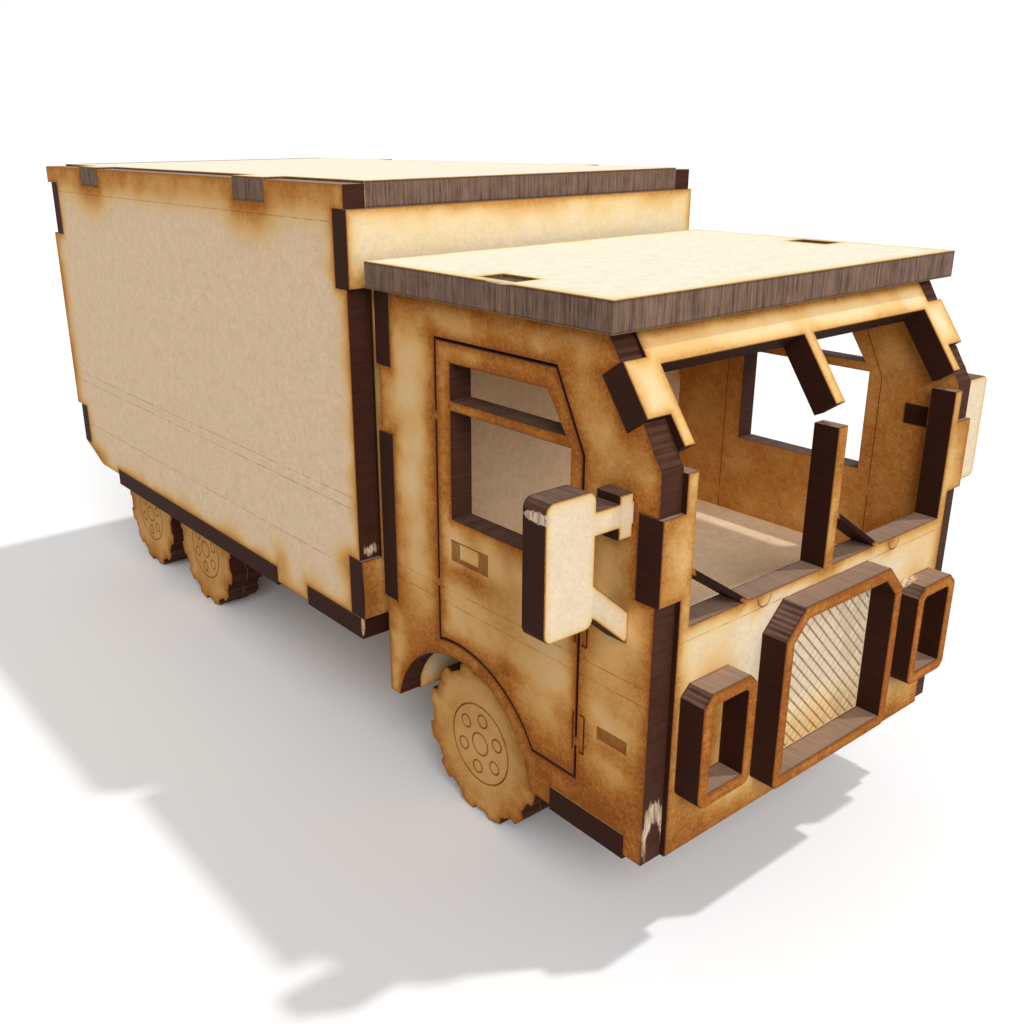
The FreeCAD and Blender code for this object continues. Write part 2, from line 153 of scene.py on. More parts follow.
def new_node(tree, kind, settings, values):
    """A node with its settings, such as a ramp's stops, and then its inputs."""
    made = tree.nodes.new(kind)
    for key, value in (settings or {}).items():
        if key == "ramp":
            set_stops(made.color_ramp.elements, value)
        else:
            setattr(made, key, value)
    set_inputs(tree, made, **values)
    return made


print("Blender", bpy.app.version_string)

# %% [markdown]
# ## Shader maths as expressions
# A material here is a small calculation: how far is this point from a cut, how dark is the char.
# Wrapping a socket in a class with operators lets that be written as it is thought.

# %% Sockets as numbers


class Shade:
    """A node socket that adds, subtracts, multiplies and divides like a number."""

    def __init__(self, tree, socket):
        self.tree, self.socket = tree, socket

    def node(self, kind, out=0, settings=None, **values):
        """Adds any node and gives one of its outputs."""
        return Shade(self.tree, new_node(self.tree, kind, settings, values).outputs[out])

    def math(self, operation, *values):
        named = {"i" + str(i): v for i, v in enumerate(values)}
        return self.node("ShaderNodeMath", settings={"operation": operation}, **named)

    def __add__(self, other):
        return self.math("ADD", self, other)

    def __sub__(self, other):
        return self.math("SUBTRACT", self, other)

    def __rsub__(self, other):
        return self.math("SUBTRACT", other, self)

    def __mul__(self, other):
        return self.math("MULTIPLY", self, other)

    def __truediv__(self, other):
        return self.math("DIVIDE", self, other)

    def __rtruediv__(self, other):
        return self.math("DIVIDE", other, self)

    def __pow__(self, other):
        return self.math("POWER", self, other)

    __radd__, __rmul__ = __add__, __mul__

    def step(self, low, high):
        """0 below low, 1 above high, smooth between."""
        return self.node("ShaderNodeMapRange", settings={"interpolation_type": "SMOOTHSTEP"},
                         Value=self, From_Min=low, From_Max=high)

    def noise(self, vector, scale, detail=3.0, rough=0.55):
        return self.node("ShaderNodeTexNoise", Vector=vector, Scale=scale, Detail=detail,
                         Roughness=rough)

    def fade(self, reach):
        """1 at 0, falling off evenly: about a third is left one reach away."""
        return self.math("EXPONENT", self / reach * -1.0)

    def stretch(self, vector, factors):
        return self.node("ShaderNodeVectorMath", settings={"operation": "MULTIPLY"}, i0=vector,
                         i1=factors)

    def blend(self, factor, a, b, way="MIX"):
        """Colour a where the factor is 0, colour b where it is 1, or a times b with MULTIPLY."""
        a = a if isinstance(a, Shade) else (*a, 1)
        b = b if isinstance(b, Shade) else (*b, 1)
        return self.node("ShaderNodeMix", out=2, settings={"data_type": "RGBA", "blend_type": way},
                         i0=factor, i6=a, i7=b)


def new_material(name):
    """A new material, its shader node and a Shade."""
    material = bpy.data.materials.new(name)
    material.use_nodes = True
    tree = material.node_tree
    return material, tree.nodes["Principled BSDF"], Shade(tree, None)


print("shader maths", [name for name in vars(Shade) if name[0] != "_"])

# %% [markdown]
# ## The board
# Raw fibreboard is an even felt of wood dust, pale and warm. The laser leaves a striped, charred
# wall and a near-black arris, and its smoke stains the face. Pictures could be painted for that,
# but one material works it out for all pieces from what their meshes carry: in millimetres, the
# place on the sheet and the distances to the nearest cut and engraved line, and the smoke.

# %% Values that each mesh carries
board, board_shader, s = new_material("scorched_fibreboard")
NUMBER, VECTOR = 2, 1


def carried(name, kind=NUMBER):
    """A value stored on the mesh; its kind picks the attribute node's output."""
    return s.node("ShaderNodeAttribute", out=kind, settings={"attribute_name": name})


def part_of(vector, axis):
    return s.node("ShaderNodeSeparateXYZ", out=axis, Vector=vector)


place, tone = carried("place", VECTOR), carried("tone", VECTOR)
cut, engraved, fine = carried("cut"), carried("engraved"), carried("fine")
# the char's grey value also paints light from above on edges that face up, with their dusting
pocket, haze, ash, slant = carried("pocket"), carried("haze"), carried("ash"), carried("slant")
smoke, veil, paleness = (part_of(tone, axis) for axis in range(3))
depth = part_of(place, 2)
inside = s.math("MINIMUM", depth, sheet - depth)
wall = inside.step(0.02, 0.10)
beam_side = 1 - (depth / sheet).step(0.3, 0.7) * 0.75
print("nodes so far", len(board.node_tree.nodes))

# %% [markdown]
# ### Clean board
# Up close the felt is speckled, from further off it is cloudy. Noise at several sizes shows both,
# and serves the smoke too, because that settles in the board's own grain.

# %% Clean board
raw_board, cream_board = (0.82, 0.625, 0.425), (0.86, 0.825, 0.69)
warmth = 0.02

clouds = s.noise(place, 0.13, 2.0).step(0.38, 0.66)
patches = s.noise(place, 0.45, 3.0, 0.6)
mottle = s.noise(place, 1.1, 3.0, 0.65)
felt = s.noise(place, 2.7, 4.0, 0.75)
fleck = s.noise(s.stretch(place, (1.0, 1.6, 1.0)), 1.9, 4.0, 0.8)
grain = 0.92 + (felt - 0.5) * 0.45 + (mottle - 0.5) * 0.30 + (patches - 0.5) * 0.22
grain = grain - fleck.step(0.60, 0.76) * 0.12
grain = s.node("ShaderNodeCombineXYZ", X=grain + warmth, Y=grain, Z=grain - warmth)
clean = s.blend(1.0, s.blend(paleness, raw_board, cream_board), grain, "MULTIPLY")
print("nodes so far", len(board.node_tree.nodes))

# %% [markdown]
# ### Smoke
# A little smoke takes the blue out of the pale board and leaves it yellow, more turns it orange,
# then brown. The stain is therefore one number, its density, and a ramp turns it into a colour to
# multiply by. The halo by a cut, the drifts and the lines add up as layers do.
# A few spots paint shade; the same ramp turns them brown.

# %% Smoke
smoke_and_shade_colours = (
    (0.0, (1, 1, 1)), (0.13, (0.97, 0.88, 0.66)), (0.30, (0.90, 0.67, 0.35)),
    (0.50, (0.68, 0.42, 0.16)), (0.65, (0.56, 0.28, 0.080)), (0.80, (0.43, 0.185, 0.047)),
    (0.92, (0.30, 0.115, 0.034)), (1.0, (0.14, 0.05, 0.018)))
scorched_rim = 0.16

reach = (patches * 1.1 + clouds * 1.5) * smoke + 0.25
near = cut.fade(reach) * (smoke * 0.50 + 0.33) * beam_side
near_line = engraved.fade(0.5) * smoke ** 6 * 0.35
# the spots' value holds smoke, and in a few places painted shade
drift = (haze + veil * beam_side) * (0.58 + patches * 0.60 + clouds * 0.20)
stain_and_shade = 1 - (1 - near) * (1 - drift) * (1 - near_line)
stain_and_shade = stain_and_shade * (felt * 1.3 + mottle * 0.8 - 0.05)
stain_and_shade = s.math("MINIMUM", stain_and_shade, 0.84 + felt * 0.1)
stain_and_shade = s.math("MAXIMUM", stain_and_shade, cut.fade(scorched_rim) * (0.55 + beam_side * 0.35))
stain_and_shade = s.math("MAXIMUM", stain_and_shade, haze.step(0.85, 0.95))
tint = s.node("ShaderNodeValToRGB", settings={"ramp": smoke_and_shade_colours}, Fac=stain_and_shade)
face = s.blend(1.0, clean, tint, "MULTIPLY")
print("smoke colours", len(smoke_and_shade_colours))

# %% [markdown]
# ### Burnt edge and engraved lines
# Right at a cut the face is burnt black, as narrow as a pencil line. Scored lines brown the board
# in dashes. Grooves and pockets are real relief in the mesh, and get their brown here.

# %% Burnt edge and engraved lines
burnt_black = (0.022, 0.0075, 0.0045)
scored_brown, groove_brown = (0.50, 0.34, 0.22), (0.24, 0.12, 0.055)
pocket_brown = (0.38, 0.23, 0.12)

singed = haze ** 8 * 0.35
face = s.blend(1 - (cut + felt * 0.08 - singed).step(0.05, 0.15), face, burnt_black)
dashes = s.noise(place, 0.6, 1.0).step(0.40, 0.60)
scored = (1 - fine.step(0.03, 0.12)) * (0.25 + dashes * 0.35)
face = s.blend(scored, face, scored_brown, "MULTIPLY")
groove = (1 - engraved.step(0.06, 0.18)) * (smoke * 0.50 + 0.45)
face = s.blend(groove * (0.5 + patches), face, groove_brown, "MULTIPLY")
face = s.blend(pocket * (0.60 + mottle * 0.5), face, pocket_brown, "MULTIPLY")
print("nodes so far", len(board.node_tree.nodes))

# %% [markdown]
# ### Charred walls
# The beam leaves the wall dark brown and striped across the sheet, with ridges where the cut runs
# at a slant. Noise stretched along the depth makes the stripes. Edges that face up are paler and
# greyer, partly ashy and dusty char and partly painted light from above, and each face carries
# how much.

# %% Charred walls
# the greyer upper stops serve edges that face up: ashy char, dusting and painted light from above
char_colours = (
    (0.0, (0.032, 0.0100, 0.0055)), (0.25, (0.070, 0.027, 0.016)), (0.60, (0.118, 0.070, 0.052)),
    (1.0, (0.270, 0.172, 0.118)))
arris_brown = (0.028, 0.010, 0.006)

streaks = s.noise(s.stretch(place, (1.0, 1.0, 0.05)), 3.6, 3.0, 0.65)
soot = s.noise(place, 0.6, 3.0)
ridges = s.math("SINE", part_of(place, 0) * 14.5 + streaks * 5.0) * slant
contrast = (0.35 + ash) * (1 - ash.step(0.85, 0.98) * 0.75)
shade = 0.98 + ((streaks - 0.5) * 2.4 + (soot - 0.5) * 0.8) * contrast + ridges * 0.30
shade = s.node("ShaderNodeCombineXYZ", X=shade, Y=shade, Z=shade)
char = s.node("ShaderNodeValToRGB", settings={"ramp": char_colours}, Fac=ash)
char = s.blend(1.0, char, shade, "MULTIPLY")
char = s.blend((1 - inside.step(0.08, 0.34)) * 0.55, char, arris_brown)
print("char colours", len(char_colours))

# %% [markdown]
# ### Torn places
# Pale fibres show where a corner was torn. Each mesh carries one such place as an ellipsoid, on
# which the chip vector is 1 long. Coarse noise frays the rim, and a second ellipsoid lower down
# leaves the middle of a large tear dark.

# %% Torn places
torn_brown, torn_pale = (0.32, 0.20, 0.13), (0.72, 0.55, 0.39)
hollow_below = (-0.1, 0, 0.45)


def length_of(vector):
    return s.node("ShaderNodeVectorMath", out=1, settings={"operation": "LENGTH"}, i0=vector)


fibres = s.noise(s.stretch(place, (0.8, 0.35, 1.7)), 1.8, 3.0, 0.6)
chip = carried("chip", VECTOR)
below = s.node("ShaderNodeVectorMath", settings={"operation": "ADD"}, i0=chip, i1=hollow_below)
filled = 1 - carried("hollow") * (length_of(below) + (fibres - 0.5) * 0.5).step(0.80, 0.62)
torn = (length_of(chip) + (fibres - 0.5) * 1.1).step(0.98, 0.82) * filled
torn_colour = s.blend(fibres.step(0.35, 0.62), torn_brown, torn_pale)
print("nodes so far", len(board.node_tree.nodes))

# %% [markdown]
# ### Everything together
# The burnt wall lies over the face, and the torn fibres over both. A little bump from the same
# noises lets the felt and the stripes catch the light.

# %% Board put together
colour = s.blend(torn, s.blend(wall, face, char), torn_colour)
height = (felt * 0.6 + fleck * 0.4) * (1 - wall) + (streaks + ridges * 0.5) * wall * 0.9
bump = s.node("ShaderNodeBump", Strength=0.4, Distance=0.00005, Height=height)
set_inputs(board.node_tree, board_shader, Base_Color=colour, Roughness=0.88 - wall * 0.22,
           Normal=bump, Specular_IOR_Level=0.08)
print("board material nodes", len(board.node_tree.nodes))

# %% [markdown]
# ## From a solid to a sheet
# Every flat piece is a prism: one outline, pushed through the board's thickness. The outline is
# read from the solid's front face, so the new piece keeps the solid's form to the last notch.

# %% Axes of a flat piece
nearly_along, thickness_slack = 0.9, 0.02


def sheet_axes(node):
    """The sheet's outward normal and its two in-plane axes: it is one sheet thick that way."""
    points = np.array([v.co for v in node.data.vertices]) / MM
    area = {}
    for face in node.data.polygons:
        n = face.normal if max(face.normal, key=abs) > 0 else -face.normal
        key = tuple(round(v, 2) for v in n)
        area.setdefault(key, [0.0, n.copy()])
        area[key][0] += face.area
    thin = [item for item in area.values()
            if abs(np.ptp(points @ np.array(item[1])) - sheet) < thickness_slack]
    n = max(thin, key=lambda item: item[0])[1].normalized()
    low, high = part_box(node.name)
    centre = (low + high) / 2 - (cad_box[0] + cad_box[1]) / 2
    if n.dot(centre) < 0:
        n = -n
    if abs(n.z) > nearly_along:
        a, b = Vector((1, 0, 0)), Vector((0, 1, 0))
    else:
        a = Vector((0, 1, 0)) if abs(n.x) > nearly_along else Vector((1, 0, 0))
        b = n.cross(a)
        b = b if b.z > 0 else -b
    return n, a, b


example = nodes["cab_side_right"]
print("the right cab wall faces", tuple(sheet_axes(example)[0]))

# %% Outline of a flat piece
same_level = 0.01


def outline_loops(node, n, a, b):
    """Closed loops of the front face in sheet millimetres, and the front's place along n."""
    points = np.empty(len(node.data.vertices) * 3)
    node.data.vertices.foreach_get("co", points)
    points = points.reshape(-1, 3) / MM
    out = points @ np.array(n)
    front = out.max()
    keys, uses, links = {}, {}, {}
    ids = [keys.setdefault(tuple(np.round(p, 3)), len(keys))
           for p in np.stack([points @ np.array(a), points @ np.array(b)], 1)]
    where = {v: k for k, v in keys.items()}
    for face in node.data.polygons:
        if all(abs(out[v] - front) < same_level for v in face.vertices):
            ring = [ids[v] for v in face.vertices]
            for p, q in zip(ring, ring[1:] + ring[:1]):
                if p != q:
                    pair = (min(p, q), max(p, q))
                    uses[pair] = uses.get(pair, 0) + 1
    for (p, q), count in uses.items():
        if count == 1:
            links.setdefault(p, []).append(q)
            links.setdefault(q, []).append(p)
    loops, left = [], set(links)
    while left:
        start = min(left)
        loop, last, now = [start], None, start
        while True:
            left.discard(now)
            step = [q for q in links[now] if q != last]
            last, now = now, step[0]
            if now == start:
                break
            loop.append(now)
        loops.append(np.array([where[i] for i in loop]))
    return loops, front


example_loops, _ = outline_loops(example, *sheet_axes(example))
print("its loops", len(example_loops))

# %% [markdown]
# ### Points and segments
# Four questions come up for every outline: which corners it needs, how to walk round it in small
# steps, what lies inside it and how far away it is. Whole arrays are asked, which is quick.

# %% Points and segments


def straightened(loop):
    """The loop without the points that lie on a straight run."""
    before, after = np.roll(loop, 1, 0), np.roll(loop, -1, 0)
    u, v = loop - before, after - loop
    cross = np.abs(u[:, 0] * v[:, 1] - u[:, 1] * v[:, 0])
    size = np.linalg.norm(u, axis=1) * np.linalg.norm(v, axis=1) + 1e-9
    return loop[cross / size > 0.002]


def spaced(loop, gap):
    """The closed loop with points added so that none is further than gap from the next."""
    out = []
    for p, q in zip(loop, np.roll(loop, -1, 0)):
        count = max(1, math.ceil(np.linalg.norm(q - p) / gap))
        out += [p + (q - p) * i / count for i in range(count)]
    return np.array(out)


def inside_loops(points, loops):
    """Which points lie inside the outline and outside its holes, by counting crossings."""
    odd = np.zeros(len(points), bool)
    x, y = points[:, 0], points[:, 1]
    for loop in loops:
        for (x1, y1), (x2, y2) in zip(loop, np.roll(loop, -1, 0)):
            if y1 != y2:
                spans = (y1 > y) != (y2 > y)
                odd ^= spans & (x < (x2 - x1) * (y - y1) / (y2 - y1) + x1)
    return odd


def distance_to(points, starts, ends):
    """Each point's distance to the nearest of many segments."""
    best = np.full(len(points), 1e9)
    for p, q in zip(starts, ends):
        d = q - p
        t = np.clip((points - p) @ d / max(d @ d, 1e-12), 0, 1)
        best = np.minimum(best, np.linalg.norm(points - p - t[:, None] * d, axis=1))
    return best


print("its corners", sum(len(straightened(loop)) for loop in example_loops))

# %% [markdown]
# ## A fine mesh that knows its distances
# A finish that follows the cuts needs points near them, and subdividing would put them anywhere.
# So they are laid on the outline, just inside it and on a staggered grid, and the triangles cross
# neither the outline nor an engraved line.

# %% Lines on a sheet
arris, kerf_taper = 0.07, 0.11
groove_half, groove_deep = 0.14, 0.10
pocket_slope, pocket_deep = 0.10, 0.15
wall_levels = (arris, sheet * 0.36, sheet * 0.68, sheet - arris)
print("arris", arris, "groove", groove_deep, "pocket", pocket_deep, "mm")


def edges_of(rings):
    """Where each edge of some closed rings starts and where it ends."""
    return np.concatenate(rings), np.concatenate([np.roll(ring, -1, 0) for ring in rings])


def along(line, gap):
    """Evenly spaced points on a line, its ends included."""
    p, q = np.array(line[0], float), np.array(line[1], float)
    count = max(1, math.ceil(np.linalg.norm(q - p) / gap))
    return p + (q - p) * np.linspace(0, 1, count + 1)[:, None]


def clipped(lines, rings, margin=0.25):
    """The stretches of the lines that lie on the sheet, a little away from its cuts."""
    kept = []
    for line in lines:
        points = along(line, 0.1)
        good = inside_loops(points, rings) & (distance_to(points, *edges_of(rings)) > margin)
        runs = np.flatnonzero(np.diff(np.concatenate([[0], good.astype(int), [0]])))
        for first, last in zip(runs[::2], runs[1::2]):
            if last - first > 2:
                kept.append((points[first], points[last - 1]))
    return kept


def corners(low, high, grow=0.0):
    """A rectangle's corners, in order."""
    (x0, y0), (x1, y1) = (low[0] - grow, low[1] - grow), (high[0] + grow, high[1] + grow)
    return np.array([(x0, y0), (x1, y0), (x1, y1), (x0, y1)])


def relief_chains(lines, pockets, gap):
    """Rows of points for the relief: three to a groove, two to a pocket's edge."""
    chains = []
    for p, q in lines:
        across = np.array([-(q - p)[1], (q - p)[0]]) / max(np.linalg.norm(q - p), 1e-9)
        chains += [along((p + across * w, q + across * w), gap)
                   for w in (-groove_half, 0.0, groove_half)]
    for low, high, *island in pockets:
        edges = [corners(low, high), corners(low, high, -pocket_slope)]
        edges += [corners(*island, grow) for grow in (0, pocket_slope) if island]
        chains += [np.concatenate([spaced(ring, gap), ring[:1]]) for ring in edges]
    return chains


# %% [markdown]
# ### Filling the outline
# The grid keeps clear of outline and grooves, so that no sliver appears beside them. A row of
# points close to the cut holds the steep part of the scorch.

# %% Filling the outline
row_share = 0.87


def grid_points(rings, gap):
    """A staggered grid inside the outline, a little away from it."""
    starts, ends = edges_of(rings)
    low, high = starts.min(0), starts.max(0)
    rows = []
    for i, y in enumerate(np.arange(low[1] + gap / 2, high[1], gap * row_share)):
        x = np.arange(low[0] + gap * (0.25 + 0.5 * (i % 2)), high[0], gap)
        rows.append(np.column_stack([x, np.full(len(x), y)]))
    grid = np.concatenate(rows)
    grid = grid[inside_loops(grid, rings)]
    return grid[distance_to(grid, starts, ends) > gap * 0.62]


def band_points(rings, gap):
    """A row of points just inside every cut."""
    starts, ends = edges_of(rings)
    run = ends - starts
    side = np.stack([-run[:, 1], run[:, 0]], 1) / np.linalg.norm(run, axis=1)[:, None]
    near, middle = min(0.38, gap * 0.45), (starts + ends) / 2
    band = np.concatenate([middle + side * near, middle - side * near])
    band = band[inside_loops(band, rings)]
    return band[distance_to(band, starts, ends) > near * 0.9]


def triangulated(rings, chains, gap):
    """Points and triangles that fill the outline, with an edge along every chain."""
    free = np.concatenate([grid_points(rings, gap), band_points(rings, gap)])
    if chains:
        heads = np.concatenate([chain[:-1] for chain in chains])
        tails = np.concatenate([chain[1:] for chain in chains])
        free = free[distance_to(free, heads, tails) > groove_half * 0.9]
    verts, edges = [Vector(p) for ring in rings for p in ring], []
    for ring in rings:
        base = len(edges)
        edges += [(base + i, base + (i + 1) % len(ring)) for i in range(len(ring))]
    for chain in chains:
        base = len(verts)
        verts += [Vector(p) for p in chain]
        edges += [(base + i, base + i + 1) for i in range(len(chain) - 1)]
    verts += [Vector(p) for p in free]
    flat, _, faces, *_ = delaunay_2d_cdt(verts, edges, [], 0, 1e-4)
    flat, faces = np.array([tuple(p) for p in flat]), np.array(faces)
    faces = faces[inside_loops(flat[faces].mean(1), rings)]
    used, order = np.unique(faces, return_inverse=True)
    return flat[used], order.reshape(faces.shape)


coarse = 3.0
example_rings = [spaced(straightened(loop), coarse) for loop in example_loops]
example_flat = triangulated(example_rings, [], coarse)
print("its face, coarsely filled, has", len(example_flat[1]), "triangles")

# %% [markdown]
# ### From a flat mesh to a plate
# Walls in five strips join the front and the back. The outer two are the narrow arris where the
# laser rounded the corner. A slot as thin as the beam is narrower at the back, because the beam
# tapers.

# %% From a flat mesh to a plate
slot_width = 0.8


def rim_steps(flat, rim, rings):
    """How each point moves at the front, and how it moves at the back."""
    inward = np.zeros_like(flat)
    for p, q in rim:
        run = flat[q] - flat[p]
        side = np.array([-run[1], run[0]]) / max(np.linalg.norm(run), 1e-9)
        inward[p] += side
        inward[q] += side
    size = np.linalg.norm(inward, axis=1)[:, None]
    front = np.where(size > 0.3, inward / np.maximum(size, 0.3) ** 2 * 2, 0) * arris
    back = front.copy()
    for ring in rings:
        after = np.roll(ring, -1, 0)
        area = abs(np.sum(ring[:, 0] * after[:, 1] - ring[:, 1] * after[:, 0])) / 2
        if area / np.linalg.norm(after - ring, axis=1).sum() < slot_width / 2:
            back[distance_to(flat, ring, after) < 1e-3] *= -kerf_taper / arris
    return front, back


def plate_layers(flat, faces, rings):
    """Every point's place on the sheet (along, across, depth), and the plate's faces."""
    used = {(p, q) for ring in faces for p, q in zip(ring, np.roll(ring, -1))}
    rim = [(p, q) for p, q in used if (q, p) not in used]
    rim_ids = sorted({p for p, _ in rim})
    order = {p: i for i, p in enumerate(rim_ids)}
    front, back = rim_steps(flat, rim, rings)
    layers = [(flat + front, 0.0), (flat + back, sheet)] + [(flat[rim_ids], w) for w in wall_levels]
    place = np.concatenate([np.column_stack([at, np.full(len(at), w)]) for at, w in layers])
    count = len(flat)

    def column(p):
        """A rim point's numbers from the front to the back."""
        between = [2 * count + i * len(rim_ids) + order[p] for i in range(len(wall_levels))]
        return [p, *between, count + p]

    polys = [tuple(f) for f in faces] + [tuple(count + f[::-1]) for f in faces]
    for p, q in rim:
        first, second = column(p), column(q)
        polys += [(first[i], first[i + 1], second[i + 1], second[i]) for i in range(len(first) - 1)]
    return place, polys


example_points, example_polys = plate_layers(*example_flat, example_rings)
print("as a plate it has", len(example_points), "points and", len(example_polys), "faces")

# %% [markdown]
# ### What a plate's mesh carries
# Smoke and pockets are worked out for every point, and for every face how much paler its char is
# where it faces up, from dusting and painted light from above. They are stored as attributes,
# which the material reads and which turn with a wheel.

# %% What a plate's mesh carries
level_up, sloping_up = 0.9, 0.2
no_chip = ((0, 0, 999), (1, 1, 1), 0)


def smoked(coords, spots):
    """How much smoke, and painted shade, the spots leave at each point, from 0 to 1."""
    clear = np.ones(len(coords))
    for centre, radii, strength in spots:
        away = np.linalg.norm((coords - centre) / radii, axis=1)
        clear *= 1 - strength * np.exp(-away ** 2)
    return 1 - clear


def sunken(flat, pockets):
    """1 for each point on a pocket's floor, but not on an island in it."""
    sunk = np.zeros(len(flat))
    for low, high, *island in pockets:
        around = inside_loops(flat, [corners(low, high, -pocket_slope * 0.9)])
        if island:
            around &= ~inside_loops(flat, [corners(*island, pocket_slope * 0.9)])
        sunk = np.maximum(sunk, around)
    return sunk


def store(mesh, **layers):
    """Keeps each array on the mesh's faces or points, whichever it has values for."""
    for key, values in layers.items():
        kind, field = ("FLOAT_VECTOR", "vector") if values.ndim == 2 else ("FLOAT", "value")
        domain = "FACE" if len(values) == len(mesh.polygons) else "POINT"
        layer = mesh.attributes.new(key, kind, domain)
        layer.data.foreach_set(field, values.astype(np.float32).ravel())


print("a face is level above", level_up, "and sloping above", sloping_up)

# %% [markdown]
# ### The plate's mesh
# Here the steps above come together: outline, relief lines, flat mesh, plate and what it carries.
# The mesh is made from lists of points and faces, which is the quickest way to a large one.

# %% The plate's mesh


def dense_sheet(name, loops, axes, front, gap, deep=(), fine=(), pockets=(), spots=(),
                chip=no_chip, soot=0.0, dust=1.0):
    """A closed mesh of one sheet piece, and the lines that its finish is measured from.

    deep and fine are lines (start, end) on the front face, pockets are rectangles (low, high) with
    perhaps an island left inside, spots are smoke stains (centre, radii, strength), a few of them
    painted shade, and chip is one torn place (centre, radii, 1 if only its rim is torn), all in
    millimetres. soot is how grey the charred walls are, and the last value how much paler and
    greyer those that face up are, from dusting and painted light from above.
    """
    n, a, b = (np.array(v) for v in axes)

    def in_space(points, w):
        return points[:, :1] * a + points[:, 1:2] * b + (front - w) * n

    rings = [spaced(straightened(loop), gap) for loop in loops]
    deep, fine = (clipped(lines, rings) for lines in (deep, fine))
    flat, faces = triangulated(rings, relief_chains(deep + fine, pockets, gap), gap)
    place, polys = plate_layers(flat, faces, rings)
    if np.dot(np.cross(a, b), n) < 0:
        polys = [tuple(reversed(f)) for f in polys]
    coords = in_space(place, place[:, 2:])
    mesh = bpy.data.meshes.new(name)
    mesh.from_pydata((coords * MM).tolist(), [], [[int(i) for i in f] for f in polys])

    facing = np.array([tuple(polygon.normal) for polygon in mesh.polygons])
    up = facing[:, 2]
    # edges that face up get paler char: dusting and painted light from above
    dust_and_top_light = np.select([up > level_up, up > sloping_up], [dust, 0.5 * dust])
    sunk = np.zeros(len(coords))
    sunk[:len(flat)] = sunken(flat, pockets)
    centre, radii, hollow = chip
    store(mesh, place=place, chip=(coords - centre) / radii, hollow=np.full(len(coords), hollow),
          pocket=sunk, haze=smoked(coords, spots), ash=np.maximum(soot, dust_and_top_light),
          slant=np.abs(facing @ a * (facing @ b)) * 2)

    def laid(pairs, *depths):
        return [in_space(np.array(pair), w) * MM for pair in pairs for w in depths]

    return mesh, {"cut": laid(zip(*edges_of(rings)), 0, sheet), "engraved": laid(deep, 0),
                  "fine": laid(fine, 0)}


def lines_object(name, lines):
    """Loose edges, for a node tree to measure distances to."""
    mesh = bpy.data.meshes.new(name)
    points = [tuple(p) for line in lines for p in line]
    mesh.from_pydata(points, [(2 * i, 2 * i + 1) for i in range(len(lines))], [])
    return placed(name, mesh)


example_sheet, _ = dense_sheet("example", example_loops, sheet_axes(example), 0, coarse)
print("its mesh carries", [a.name for a in example_sheet.attributes if a.name[0] != "."])
bpy.data.meshes.remove(example_sheet)

# %% [markdown]
# ## Node trees in few lines
# Geometry nodes make the grooves, hubs and the grille. A small class holds a tree while it is
# built, and one function runs it on a mesh and keeps the result.

# %% Node tree helpers


class Tree:
    """A geometry node tree under construction; floats names its plain number inputs."""

    def __init__(self, name, floats, **inputs):
        self.tree = bpy.data.node_groups.new(name, "GeometryNodeTree")
        add = self.tree.interface.new_socket
        inputs.update(dict.fromkeys(floats.split(), "Float"), material="Material")
        for key, kind in inputs.items():
            add(key, in_out="INPUT", socket_type="NodeSocket" + kind)
        add("Geometry", in_out="OUTPUT", socket_type="NodeSocketGeometry")
        self.given = self.tree.nodes.new("NodeGroupInput").outputs
        self.result = self.tree.nodes.new("NodeGroupOutput")

    def add(self, kind, settings=None, **values):
        return new_node(self.tree, kind, settings, values)

    def math(self, operation, a, b):
        return self.add("ShaderNodeMath", {"operation": operation}, i0=a, i1=b)

    def finish(self, geometry):
        """Real geometry with its material, as every tree here ends."""
        real = self.add("GeometryNodeRealizeInstances", i0=geometry)
        paint = self.add("GeometryNodeSetMaterial", Geometry=real, Material=self.given["material"])
        self.tree.links.new(paint.outputs[0], self.result.inputs[0])
        return self.tree


def run_tree(mesh, name, tree, **inputs):
    """A new object that holds what the tree makes of the mesh."""
    made = placed(name, mesh)
    modifier = made.modifiers.new("tree", "NODES")
    modifier.node_group = tree
    sockets = {i.name: i.identifier for i in tree.interface.items_tree
               if i.item_type == "SOCKET" and i.in_out == "INPUT"}
    for key, value in inputs.items():
        modifier[sockets[key]] = value
    graph = bpy.context.evaluated_depsgraph_get()
    result = bpy.data.meshes.new_from_object(made.evaluated_get(graph), depsgraph=graph)
    made.modifiers.remove(modifier)
    made.data = result
    result.name = name
    return made


print("steps of a tree", [name for name in vars(Tree) if name[0] != "_"])

# %% [markdown]
# ## The laser's finish as a node tree
# Geometry Proximity gives each point's distance to the nearest cut and engraved line, which is
# stored for the material. Points near an engraved line sink into a shallow groove and points of a
# pocket to its floor, so that the engraving is real relief.

# %% Laser finish tree


